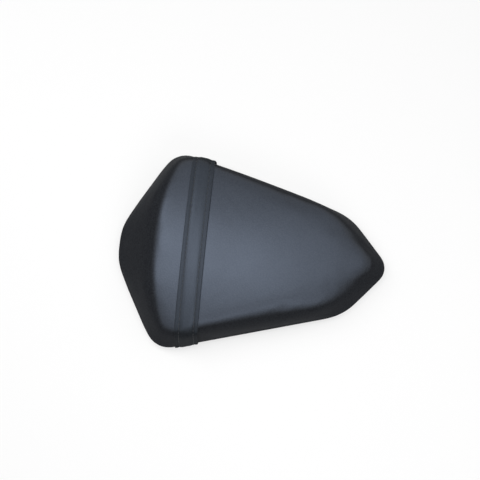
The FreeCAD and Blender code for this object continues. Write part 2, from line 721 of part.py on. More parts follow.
def make_striker():
    """Bracket, the pin between its ears that the latch grips, and the two bolts with their nuts."""
    pin_body = doc.addObject("PartDesign::Body", "striker_pin")
    section = circle(pin_body, "pin_section", "XZ_Plane", "sizes.pin_radius")
    length = "2 * (sizes.ear_half_gap + sizes.bracket_thickness + sizes.pin_overhang)"
    pad(pin_body, section, "pin_bar", length, Midplane=True)
    bind(pin_body, at(STRIKER_X, "0", "sizes.pin_level"))
    nut_level = f"({BRACKET_UNDERSIDE} - sizes.nut_height)"
    nut = doc.addObject("PartDesign::Body", "striker_nut_left")
    blank = polygon(nut, "nut_outline", "XY_Plane", hexagon("sizes.nut_across_flats"))
    pad(nut, blank, "nut_blank", "sizes.nut_height")
    thread = circle(nut, "nut_thread", "XY_Plane", BOLT_HOLE)
    pocket(nut, thread, "nut_bore", "sizes.nut_height", Reversed=True)
    bind(nut, at(STRIKER_X, STRIKER_BOLT_Y, nut_level))
    bolt = doc.addObject("PartDesign::Body", "striker_bolt_left")
    end = f"({nut_level} - {DECK_TOP} - sizes.bolt_end)"
    points = [("0", "sizes.striker_head_height"), ("sizes.striker_head_radius", "sizes.striker_head_height"),
              ("sizes.striker_head_radius", "0"), ("sizes.bolt_radius", "0"), ("sizes.bolt_radius", end),
              ("0", end)]
    spin(bolt, polygon(bolt, "striker_bolt_profile", "XZ_Plane", points), "striker_bolt_turned")
    bind(bolt, at(STRIKER_X, STRIKER_BOLT_Y, DECK_TOP))
    return [make_bracket(), pin_body, on_both_sides("striker_nuts", nut), on_both_sides("striker_bolts", bolt)]


def make_bumpers():
    """Push-in rubber feet, each with a tapered foot and a stem pressed through the flange."""
    feet = []
    for place, x, y in bumper_places():
        body = doc.addObject("PartDesign::Body", f"bumper_{place}")
        top = f"{FLANGE_TOP} + sizes.bumper_stem_rise"
        points = [("0", "0"), ("sizes.bumper_foot_radius", "0"),
                  ("sizes.bumper_radius", "sizes.bumper_foot_height"),
                  ("sizes.bumper_radius", "sizes.pan_level"), ("sizes.bumper_stem_radius", "sizes.pan_level"),
                  ("sizes.bumper_stem_radius", top), ("0", top)]
        profile = polygon(body, f"bumper_{place}_profile", "XZ_Plane", points)
        spin(body, profile, f"bumper_{place}_turned")
        feet.append(bind(body, at(x, y, "0")))
    return group("bumpers", feet)


def check_document():
    """Stop if any object failed to build."""
    failed = [item.Name for item in doc.Objects if {"Invalid", "Error"} & set(item.State)]
    if failed:
        raise RuntimeError("failed objects: " + ", ".join(failed))


def write_parts(parts):
    """Check every sub-part's shape, then write each to a file of its own name."""
    for part in parts:
        if part.Shape.isNull() or not part.Shape.isValid():
            raise RuntimeError("no valid shape: " + part.Label)
    os.makedirs("parts", exist_ok=True)
    for part in parts:
        part.Shape.exportStep(f"parts/{part.Label}.step")


def main():
    parts = [make_base(), make_foam(), make_cover(), make_strap()]
    parts += make_strap_fastenings()
    parts += make_striker()
    parts.append(make_bumpers())
    doc.recompute()
    check_document()
    write_parts(parts)


main()
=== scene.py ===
"""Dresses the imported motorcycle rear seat: vinyl cover, grab strap, stitching, staples and finishes."""

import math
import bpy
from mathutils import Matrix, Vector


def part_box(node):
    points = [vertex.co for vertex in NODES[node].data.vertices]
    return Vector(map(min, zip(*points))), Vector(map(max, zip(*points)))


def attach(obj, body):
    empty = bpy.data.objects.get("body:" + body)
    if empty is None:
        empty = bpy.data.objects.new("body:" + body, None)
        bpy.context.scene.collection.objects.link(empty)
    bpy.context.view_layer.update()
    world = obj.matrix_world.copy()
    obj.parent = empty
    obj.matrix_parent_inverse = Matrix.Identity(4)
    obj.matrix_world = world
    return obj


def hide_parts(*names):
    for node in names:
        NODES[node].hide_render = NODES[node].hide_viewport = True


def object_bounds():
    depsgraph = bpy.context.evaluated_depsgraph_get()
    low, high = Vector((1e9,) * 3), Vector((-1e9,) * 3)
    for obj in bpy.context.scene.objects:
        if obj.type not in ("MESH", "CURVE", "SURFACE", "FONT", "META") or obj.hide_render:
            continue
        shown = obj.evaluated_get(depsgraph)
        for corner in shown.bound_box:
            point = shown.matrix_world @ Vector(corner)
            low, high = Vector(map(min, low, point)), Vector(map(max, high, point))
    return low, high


bl_info = {
    "name": "Motorcycle rear seat",
    "version": (1, 0, 0),
    "blender": (4, 5, 0),
    "location": "View3D > Sidebar > Rear seat",
    "description": "Upholsters and finishes a motorcycle rear seat over its packed frame",
    "category": "Object",
}

import bmesh
import bpy
from mathutils import Matrix, Vector
from mathutils.bvhtree import BVHTree

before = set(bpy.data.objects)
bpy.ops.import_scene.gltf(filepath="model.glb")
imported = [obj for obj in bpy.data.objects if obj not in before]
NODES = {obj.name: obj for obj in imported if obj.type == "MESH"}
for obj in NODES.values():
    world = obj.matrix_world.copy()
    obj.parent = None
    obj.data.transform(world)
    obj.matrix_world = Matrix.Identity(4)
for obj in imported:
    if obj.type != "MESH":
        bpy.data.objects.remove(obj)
CAD_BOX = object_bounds()
MM = 0.001
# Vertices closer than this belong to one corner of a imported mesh
WELD = 0.01 * MM
# Straight runs of the opening inside the cover's lip
LIP_SIDES = 7
# Attribute for the vinyl's shine: 1 on the top, which riders polish, 0 down the sides, where the dimmed
# sheen is painted shade
POLISH_AND_PAINTED_SHADE = "polish_and_painted_shade"
# Closed form of the cushion, which the foam and the strap are fitted to and which isn't kept
FORM = "cushion_form"


def linear(hex_colour):
    """Linear colour of an sRGB hex value."""
    parts = [int(hex_colour[index:index + 2], 16) / 255 for index in (1, 3, 5)]
    return [part / 12.92 if part <= 0.04045 else ((part + 0.055) / 1.055) ** 2.4 for part in parts] + [1.0]


def ease(low, high, number):
    """Smooth step from 0 at low to 1 at high."""
    share = min(max((number - low) / (high - low), 0.0), 1.0)
    return share * share * (3 - 2 * share)


# Sizes and colours

def length(name, description, default):
    """Property that holds a length in metres."""
    return bpy.props.FloatProperty(name=name, description=description, default=default,
                                   unit="LENGTH", subtype="DISTANCE", precision=5)


def colour(name, description, hex_colour):
    """Property that holds a colour."""
    return bpy.props.FloatVectorProperty(name=name, description=description, default=linear(hex_colour),
                                         size=4, subtype="COLOR", min=0.0, max=1.0)


def fraction(name, description, default):
    """Property that holds a share from 0 to 1."""
    return bpy.props.FloatProperty(name=name, description=description, default=default,
                                   subtype="FACTOR", min=0.0, max=1.0)


def angle(name, description, degrees):
    """Property that holds an angle."""
    return bpy.props.FloatProperty(name=name, description=description, default=math.radians(degrees),
                                   subtype="ANGLE")


def watts(name, description, default):
    """Property that holds a lamp's power in watts."""
    return bpy.props.FloatProperty(name=name, description=description, default=default,
                                   unit="POWER", min=0.0)


def studio_point(name, description, default):
    """Property that holds a point in metres."""
    return bpy.props.FloatVectorProperty(name=name, description=description, default=default,
                                         size=3, subtype="TRANSLATION", unit="LENGTH")


class CoverSettings(bpy.types.PropertyGroup):
    """Vinyl cover drawn over the cushion."""
    voxel: length("Voxel", "Size of the cells that the cover's form is meshed with", 3.5 * MM)
    thickness: length("Thickness", "Thickness of the vinyl", 1.2 * MM)
    skirt: length("Skirt", "Spare height below the rim, trimmed off before the turn", 14 * MM)
    roll: length("Roll", "Rounding where the vinyl turns under the base", 2.2 * MM)
    lip: length("Lip", "Width of the vinyl turned under the base", 12 * MM)
    ease_out: fraction("Ease", "Share that the form is let out before its edges are rounded", 0.015)
    fullness: length("Fullness", "Bulge of the two flanks of the nose", 1.8 * MM)
    swell: length("Swell", "Furthest that the foam pushes the vinyl out", 1.2 * MM)
    pressure: bpy.props.FloatProperty(name="Pressure", description="Push of the foam", default=4.0)
    tautness: bpy.props.IntProperty(
        name="Tautness", description="How often the folds of the foam's push are drawn out", default=10)
    side_softness: fraction("Side softness", "Rounding of the shoulders along the sides", 1.0)
    front_softness: fraction("Front softness", "Rounding of the shoulder along the front", 0.04)
    grain: length("Grain", "Width of a pebble of the vinyl's grain", 1.8 * MM)
    shine: fraction("Shine", "Shine of the polished top", 0.56)
    dark: colour("Dark", "Vinyl in the valleys of its grain", "#1A1B1E")
    pale: colour("Pale", "Vinyl on the pebbles of its grain", "#26282B")


class StrapSettings(bpy.types.PropertyGroup):
    """Grab strap across the seat."""
    thickness: length("Thickness", "Thickness of the doubled vinyl", 1.7 * MM)
    gap: length("Gap", "Air between the strap and the cover", 0.3 * MM)
    proud: length("Proud", "How far the rear edge stands off the seat's sides", 1.9 * MM)
    seam_inset: length("Seam inset", "Distance from an edge to its row of stitching", 5 * MM)
    seam_depth: length("Seam depth", "Depth of the groove that a row of stitching pulls", 0.5 * MM)
    crown: length("Crown", "Rise of the strap between its seams", 0.6 * MM)
    edge_radius: length("Edge radius", "Rounding of the folded edges", 0.9 * MM)
    stitch_pitch: length("Stitch pitch", "Distance from stitch to stitch", 5.5 * MM)
    stitch_length: length("Stitch length", "Length of one stitch", 4.4 * MM)
    thread: length("Thread", "Diameter of the thread", 0.9 * MM)
    shine: fraction("Shine", "Shine of the strap's upper face", 0.42)
    dark: colour("Dark", "Strap in the valleys of its grain", "#181A1D")
    pale: colour("Pale", "Strap on the pebbles of its grain", "#222528")
    # Lower shine on the hems outside the seams is painted shade
    hem_painted_shade: fraction("Hem polish", "Polish of the hems outside the seams", 0.7)


class StapleSettings(bpy.types.PropertyGroup):
    """Staples that hold the cover's lip to the base."""
    pitch: length("Pitch", "Distance from staple to staple", 17 * MM)
    width: length("Width", "Length of a staple's crown", 10 * MM)
    wire: length("Wire", "Width of the flattened wire", 1.2 * MM)
    stand: length("Stand", "How far a crown stands off the lip", 0.35 * MM)
    inset: length("Inset", "Distance from the lip's inner edge", 3.5 * MM)


class StageSettings(bpy.types.PropertyGroup):
    """Floor, light and camera."""
    azimuth: angle("Azimuth", "Turn of the camera round the seat", 5.5)
    elevation: angle("Elevation", "Camera above the horizon", 79)
    distance: length("Distance", "Camera to the seat", 1.1)
    lens: bpy.props.FloatProperty(name="Lens", description="Focal length on a 36 mm sensor", default=68.4)
    aim_right: length("Aim right", "Aim of the camera, to the right of the seat's middle", -14.3 * MM)
    aim_up: length("Aim up", "Aim of the camera, above the seat's middle in the picture", 17.2 * MM)
    floor_colour: colour("Floor", "Pale studio floor", "#E6E6E6")
    key_power: watts("Key power", "Watts of the key softbox", 16.8)
    key_across: length("Key across", "Key softbox across the seat", 0.72)
    key_along: length("Key along", "Key softbox along the seat", 1.55)
    key_place: studio_point("Key place", "Middle of the key softbox", (-0.36, 0.14, 1.25))
    fill_power: watts("Fill power", "Watts of the fill softbox", 5.4)
    fill_across: length("Fill across", "Fill softbox across the seat", 1.0)
    fill_along: length("Fill along", "Fill softbox along the seat", 1.1)
    fill_place: studio_point("Fill place", "Middle of the fill softbox", (0.55, 0.16, 1.25))
    strip_power: watts("Strip power", "Watts of the strip softbox", 4.0)
    strip_along: length("Strip along", "Strip softbox along the seat", 0.9)
    strip_up: length("Strip up", "Strip softbox from its lower edge to its upper edge", 0.45)
    strip_place: studio_point("Strip place", "Middle of the strip softbox", (0.35, -0.8, 0.9))
    room: fraction("Room light", "Light from the room all round", 0.12)
    glow: fraction("Floor glow", "Share of the floor that shows as plain white", 0.65)


# Meshes

def add_object(name, mesh):
    """Object at the origin that holds a mesh, with smooth faces."""
    mesh.shade_smooth()
    piece = bpy.data.objects.new(name, mesh)
    bpy.context.scene.collection.objects.link(piece)
    return piece


def object_from(name, bm):
    """Object that holds a bmesh, which is freed."""
    mesh = bpy.data.meshes.new(name)
    bm.to_mesh(mesh)
    bm.free()
    return add_object(name, mesh)


def add_modifier(piece, name, kind, **settings):
    """Modifier with its settings."""
    modifier = piece.modifiers.new(name, kind)
    for prop, setting in settings.items():
        setattr(modifier, prop, setting)
    return modifier


def apply_modifiers(piece):
    """Replaces a piece's mesh by what its modifiers make of it."""
    depsgraph = bpy.context.evaluated_depsgraph_get()
    mesh = bpy.data.meshes.new_from_object(piece.evaluated_get(depsgraph))
    piece.modifiers.clear()
    piece.vertex_groups.clear()
    piece.data = mesh
    mesh.shade_smooth()


def weight_group(piece, name, weight):
    """Vertex group with the weight that a function gives for each vertex."""
    group = piece.vertex_groups.new(name=name)
    for vertex in piece.data.vertices:
        group.add([vertex.index], weight(vertex.co), "REPLACE")
    return group.name


def lip_planes():
    """Point and inward direction of each straight run of the opening inside the cover's lip."""
    bm = bmesh.new()
    bm.from_mesh(NODES["seat_cover"].data)
    bmesh.ops.remove_doubles(bm, verts=bm.verts, dist=WELD)
    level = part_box("seat_cover")[0].z
    middle = Vector((0, 0, level))
    leaning, square = 0.5, 0.99
    runs = []
    for edge in bm.edges:
        start, end = (vertex.co for vertex in edge.verts)
        upright = [face for face in edge.link_faces if abs(face.normal.z) < leaning]
        along = (end - start).normalized()
        inward = Vector((-along.y, along.x, 0))
        if inward.dot(middle - start) < 0:
            inward = -inward
        on_level = max(start.z, end.z) < level + WELD
        if on_level and upright and upright[0].normal.dot(inward) > square:
            runs.append(((end - start).length, start.copy(), inward))
    bm.free()
    runs.sort(key=lambda run: run[0], reverse=True)
    return [(start, inward) for run_length, start, inward in runs[:LIP_SIDES]]


def form_polygons():
    """Vertices and faces of the closed cushion form."""
    mesh = bpy.data.objects[FORM].data
    return [vertex.co for vertex in mesh.vertices], [polygon.vertices[:] for polygon in mesh.polygons]


def polish_and_painted_shade(mesh, share):
    """Marks the upward faces of a mesh as polished and dims the sheen of steeper faces as painted shade, by
    a share that a function gives for each vertex.
    """
    steepest, flattest = 0.62, 0.93
    polish_and_shade = mesh.attributes.new(POLISH_AND_PAINTED_SHADE, "FLOAT", "POINT")
    for vertex in mesh.vertices:
        polish_and_shade.data[vertex.index].value = ease(steepest, flattest, vertex.normal.z) * share(vertex.co)


def behind_crest(point):
    """1 on the top behind the bowed line of its front edge, 0 before it, so that the nose keeps a dimmed
    sheen as painted shade.
    """
    middle, bow_per_metre = -112 * MM, 1.7
    crest = middle + bow_per_metre * point.y ** 2
    return ease(crest - 5 * MM, crest + 3 * MM, point.x)


# Materials

def add_node(tree, kind, attributes=None, values=None, links=None):
    """Adds a shader node, sets its attributes and inputs, and links inputs to other nodes' outputs."""
    made = tree.nodes.new(kind)
    for name, setting in (attributes or {}).items():
        setattr(made, name, setting)
    for name, number in (values or {}).items():
        made.inputs[name].default_value = number
    for name, (source, output) in (links or {}).items():
        tree.links.new(source.outputs[output], made.inputs[name])
    return made


def new_material(name):
    """Material with nothing but an output node, its node tree and that node."""
    material = bpy.data.materials.new(name)
    material.use_nodes = True
    tree = material.node_tree
    tree.nodes.clear()
    return material, tree, add_node(tree, "ShaderNodeOutputMaterial")


def per_metre(size):
    """Texture scale at which a pattern's cell has a real size."""
    return 1 / size


def embossed_vinyl(name, dark, pale, grain, best_shine):
    # PVC-coated cloth, embossed with a leather grain: near black, with a wide, low sheen that shows the
    # form and whose cool tint is a painted reflection of cool light, pebbles with fine creases between
    # them, and soft uneven patches from handling.
    # The pebbles are about twice as wide as on real vinyl, so that the render shows them
    gloss_drift, pore_share = 0.12, 0.25
    material, tree, output = new_material(name)
    place = add_node(tree, "ShaderNodeTexCoord")
    pebbles = add_node(tree, "ShaderNodeTexVoronoi", {"feature": "SMOOTH_F1"},
                       {"Scale": per_metre(grain), "Smoothness": 0.35, "Randomness": 0.9},
                       {"Vector": (place, "Object")})
    pores = add_node(tree, "ShaderNodeTexNoise", None,
                     {"Scale": per_metre(grain / 3), "Detail": 3.0, "Roughness": 0.6},
                     {"Vector": (place, "Object")})
    patches = add_node(tree, "ShaderNodeTexNoise", None,
                       {"Scale": per_metre(45 * MM), "Detail": 4.0, "Roughness": 0.55},
                       {"Vector": (place, "Object")})
    tone = add_node(tree, "ShaderNodeValToRGB", None, None, {"Fac": (pebbles, "Distance")})
    tone.color_ramp.elements[0].color = pale
    tone.color_ramp.elements[1].color = dark
    tone.color_ramp.elements[1].position = 0.75
    # Shine and roughness follow this attribute: rider polish on the top, and painted shade that dims the
    # sheen down the sides and on the nose
    polish_and_shade = add_node(tree, "ShaderNodeAttribute", {"attribute_name": POLISH_AND_PAINTED_SHADE})
    dull = add_node(tree, "ShaderNodeMapRange", None, {"To Min": 0.7, "To Max": 0.42},
                    {"Value": (polish_and_shade, "Fac")})
    gloss = add_node(tree, "ShaderNodeMath", {"operation": "MULTIPLY_ADD"},
                     {1: gloss_drift, 2: -gloss_drift / 2}, {0: (patches, "Fac")})
    rough = add_node(tree, "ShaderNodeMath", {"operation": "ADD"}, None,
                     {0: (dull, "Result"), 1: (gloss, "Value")})
    shine = add_node(tree, "ShaderNodeMapRange", None, {"To Min": 0.05, "To Max": best_shine},
                     {"Value": (polish_and_shade, "Fac")})
    relief = add_node(tree, "ShaderNodeMath", {"operation": "MULTIPLY_ADD"}, {1: pore_share},
                      {0: (pores, "Fac"), 2: (pebbles, "Distance")})
    bump = add_node(tree, "ShaderNodeBump", {"invert": True}, {"Strength": 0.4, "Distance": 0.15 * MM},
                    {"Height": (relief, "Value")})
    # The bluish Specular Tint is a painted reflection of cool light
    shader = add_node(tree, "ShaderNodeBsdfPrincipled", None,
                      {"IOR": 1.5, "Specular Tint": linear("#D0E2FF")},
                      {"Base Color": (tone, "Color"), "Roughness": (rough, "Value"),
                       "Specular IOR Level": (shine, "Result"), "Normal": (bump, "Normal")})
    tree.links.new(shader.outputs["BSDF"], output.inputs["Surface"])
    return material


def mottled(name, first, second, patch, rough, bump_depth, metallic=0.0, ior=1.5, shine=0.5):
    # One shader for moulded, plated and coated parts: two close tones and a roughness that drift
    # over patches of a real size, and a bump at a quarter of that size
    material, tree, output = new_material(name)
    place = add_node(tree, "ShaderNodeTexCoord")
    patches = add_node(tree, "ShaderNodeTexNoise", None,
                       {"Scale": per_metre(patch), "Detail": 5.0, "Roughness": 0.6},
                       {"Vector": (place, "Object")})
    fine = add_node(tree, "ShaderNodeTexNoise", None,
                    {"Scale": per_metre(patch / 4), "Detail": 3.0},
                    {"Vector": (place, "Object")})
    tone = add_node(tree, "ShaderNodeMix", {"data_type": "RGBA"},
                    {6: linear(first), 7: linear(second)}, {0: (patches, "Fac")})
    gloss = add_node(tree, "ShaderNodeMapRange", None, {"To Min": rough[0], "To Max": rough[1]},
                     {"Value": (fine, "Fac")})
    bump = add_node(tree, "ShaderNodeBump", None, {"Strength": 0.3, "Distance": bump_depth},
                    {"Height": (fine, "Fac")})
    shader = add_node(tree, "ShaderNodeBsdfPrincipled", None,
                      {"Metallic": metallic, "IOR": ior, "Specular IOR Level": shine},
                      {"Base Color": (tone, 2), "Roughness": (gloss, "Result"), "Normal": (bump, "Normal")})
    tree.links.new(shader.outputs["BSDF"], output.inputs["Surface"])
    return material


# Operators

class SEAT_OT_cover(bpy.types.Operator):
    """Draw the vinyl cover over the cushion and turn it under the base"""
    bl_idname = "seat.cover"
    bl_label = "Vinyl cover"

    # Passes that even out the voxels, round the shoulders and steady the direction of the lip
    EVEN_PASSES = 6
    SHOULDER_PASSES = 17
    LIP_PASSES = 30
    # Frames of the cloth simulation
    FRAMES = 20
    # Turns at which the roll of the rim has an edge
    ROLL_TURNS = [math.radians(30), math.radians(60), math.radians(90)]

    def execute(self, context):
        settings = context.scene.seat_cover
        strap_low, strap_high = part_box("grab_strap")
        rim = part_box("seat_cover")[0].z
        bm = bmesh.new()
        for vertex in NODES["seat_cover"].data.vertices:
            bm.verts.new(vertex.co)
        bmesh.ops.remove_doubles(bm, verts=bm.verts, dist=WELD)
        lowest = [vertex for vertex in bm.verts if vertex.co.z < rim + WELD]
        hem = bmesh.ops.duplicate(bm, geom=lowest)["geom"]
        bmesh.ops.translate(bm, vec=(0, 0, -settings.skirt), verts=hem)
        bmesh.ops.convex_hull(bm, input=bm.verts)
        inner = [vertex for vertex in bm.verts if not vertex.link_faces]
        bmesh.ops.delete(bm, geom=inner, context="VERTS")
        bmesh.ops.scale(bm, vec=(1 + settings.ease_out, 1 + settings.ease_out, 1), verts=bm.verts)
        piece = object_from("vinyl_cover", bm)
        add_modifier(piece, "Voxels", "REMESH", mode="VOXEL", voxel_size=settings.voxel)
        apply_modifiers(piece)
        self.fill_out(piece, settings)
        harder = settings.front_softness - settings.side_softness

        def softness(point):
            crisp, rounded = rim + 5 * MM, rim + 18 * MM
            sides, nose = -85 * MM, -112 * MM
            rise = ease(crisp, rounded, point.z)
            front = ease(sides, nose, point.x)
            return rise * (settings.side_softness + front * harder)

        add_modifier(piece, "Even skin", "SMOOTH", factor=0.5, iterations=self.EVEN_PASSES)
        add_modifier(piece, "Soft shoulders", "SMOOTH", factor=0.5, iterations=self.SHOULDER_PASSES,
                     vertex_group=weight_group(piece, "softness", softness))
        apply_modifiers(piece)
        self.swell(context, piece, rim, strap_low.x, strap_high.x)
        add_modifier(piece, "Smooth skin", "SUBSURF", levels=1, render_levels=1)
        apply_modifiers(piece)
        self.turn_under(piece, rim)
        # Polished top; the sides and the nose in front of the crest get a dimmed sheen as painted shade
        polish_and_painted_shade(piece.data, behind_crest)
        add_modifier(piece, "Vinyl thickness", "SOLIDIFY", thickness=settings.thickness, offset=-1.0)
        piece.data.materials.append(embossed_vinyl(
            "Embossed PVC vinyl", settings.dark, settings.pale, settings.grain, settings.shine))
        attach(piece, "root")
        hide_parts("seat_cover")
        return {"FINISHED"}

    def fill_out(self, piece, settings):
        """Bulges the two flanks of the nose, from beside its middle to the wide corners."""
        inner_end, full, fading, corner = 12 * MM, 60 * MM, 92 * MM, 120 * MM
        sideways, forward = -0.2, -0.5
        for vertex in piece.data.vertices:
            outward = Vector((vertex.normal.x, vertex.normal.y, 0))
            from_middle = abs(vertex.co.y)
            flank = ease(inner_end, full, from_middle) * ease(corner, fading, from_middle)
            facing = ease(sideways, forward, vertex.normal.x)
            vertex.co += outward * settings.fullness * flank * facing

    def swell(self, context, piece, rim, strap_front, strap_rear):
        """Lets the foam push the vinyl out, except where the strap and the base hold it."""
        settings = context.scene.seat_cover

        def held(point):
            clear, gripped = 8 * MM, 1 * MM
            loose, stapled = rim + 14 * MM, rim + 5 * MM
            under_strap = ease(clear, gripped, max(strap_front - point.x, point.x - strap_rear))
            return max(under_strap, ease(loose, stapled, point.z))

        start = [vertex.co.copy() for vertex in piece.data.vertices]
        cloth = add_modifier(piece, "Foam pressure", "CLOTH")
        cloth.settings.use_pressure = True
        cloth.settings.uniform_pressure_force = settings.pressure
        cloth.settings.effector_weights.gravity = 0.0
        cloth.settings.vertex_group_mass = weight_group(piece, "held", held)
        cloth.point_cache.frame_start = 1
        cloth.point_cache.frame_end = self.FRAMES
        for moment in range(1, self.FRAMES + 1):
            context.scene.frame_set(moment)
        apply_modifiers(piece)
        context.scene.frame_set(1)
        for vertex, origin in zip(piece.data.vertices, start):
            shift = vertex.co - origin
            if shift.length > settings.swell:
                vertex.co = origin + shift.normalized() * settings.swell
        add_modifier(piece, "Taut vinyl", "SMOOTH", factor=0.5, iterations=settings.tautness,
                     vertex_group=weight_group(piece, "taut", lambda point: 1 - held(point)))
        apply_modifiers(piece)

    def turn_under(self, piece, rim):
        """Trims the skirt off, rolls the edge round the base, lays the lip and keeps a closed copy."""
        settings = bpy.context.scene.seat_cover
        bm = bmesh.new()
        bm.from_mesh(piece.data)
        bmesh.ops.bisect_plane(bm, geom=bm.verts[:] + bm.edges[:] + bm.faces[:], dist=WELD,
                               plane_co=(0, 0, rim + settings.roll), plane_no=(0, 0, 1), clear_inner=True)
        trimmed = [vertex for vertex in bm.verts if vertex.is_boundary]
        bmesh.ops.remove_doubles(bm, verts=trimmed, dist=settings.voxel / 4)
        edges = [edge for edge in bm.edges if edge.is_boundary]
        beside = {vertex: [edge.other_vert(vertex) for edge in vertex.link_edges if edge.is_boundary]
                  for vertex in bm.verts if vertex.is_boundary}
        inward = {}
        for vertex, (before, after) in beside.items():
            across = Vector((before.co.y - after.co.y, after.co.x - before.co.x, 0)).normalized()
            inward[vertex] = across if across.dot(vertex.co) < 0 else -across
        for smoothing in range(self.LIP_PASSES):
            inward = {vertex: (inward[vertex] + inward[before] + inward[after]).normalized()
                      for vertex, (before, after) in beside.items()}
        start = {vertex: (vertex.co.copy(), inward[vertex]) for vertex in beside}
        steps = [(settings.roll * (1 - math.cos(turn)), settings.roll * (1 - math.sin(turn)))
                 for turn in self.ROLL_TURNS]
        steps += [((settings.roll + settings.lip) / 2, 0), (settings.lip, 0)]
        for inset, height in steps:
            made = bmesh.ops.extrude_edge_only(bm, edges=edges)["geom"]
            edges = [item for item in made if isinstance(item, bmesh.types.BMEdge) and item.is_boundary]
            turned = {}
            for vertex in [item for item in made if isinstance(item, bmesh.types.BMVert)]:
                above = next(edge.other_vert(vertex) for edge in vertex.link_edges
                             if edge.other_vert(vertex) in start)
                place, across = start[above]
                turned[vertex] = (place, across)
                vertex.co = place + across * inset
                vertex.co.z = rim + height
            start = turned
        bmesh.ops.recalc_face_normals(bm, faces=bm.faces)
        bm.to_mesh(piece.data)
        bmesh.ops.holes_fill(bm, edges=edges)
        bm.normal_update()
        form = object_from(FORM, bm)
        form.hide_render = True
        piece.data.shade_smooth()


class SEAT_OT_foam(bpy.types.Operator):
    """Fit the foam cushion inside the cover"""
    bl_idname = "seat.foam"
    bl_label = "Foam cushion"

    def execute(self, context):
        settings = context.scene.seat_cover
        form = bpy.data.objects[FORM]
        bm = bmesh.new()
        bm.from_mesh(NODES["foam_cushion"].data)
        bmesh.ops.remove_doubles(bm, verts=bm.verts, dist=WELD)
        piece = object_from("foam_core", bm)
        under_skin = 1.5 * settings.thickness
        add_modifier(form, "Inside of the vinyl", "DISPLACE", strength=-under_skin, mid_level=0.0)
        add_modifier(piece, "Trim", "BOOLEAN", operation="INTERSECT", object=form, solver="MANIFOLD")
        apply_modifiers(piece)
        form.modifiers.clear()
        piece.data.materials.clear()
        # Cold-cure polyurethane foam: cream, matt and open-celled
        piece.data.materials.append(
            mottled("Polyurethane foam", "#E3D39C", "#CDB77A", 6 * MM, (0.85, 0.95), 0.6 * MM))
        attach(piece, "root")
        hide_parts("foam_cushion")
        return {"FINISHED"}


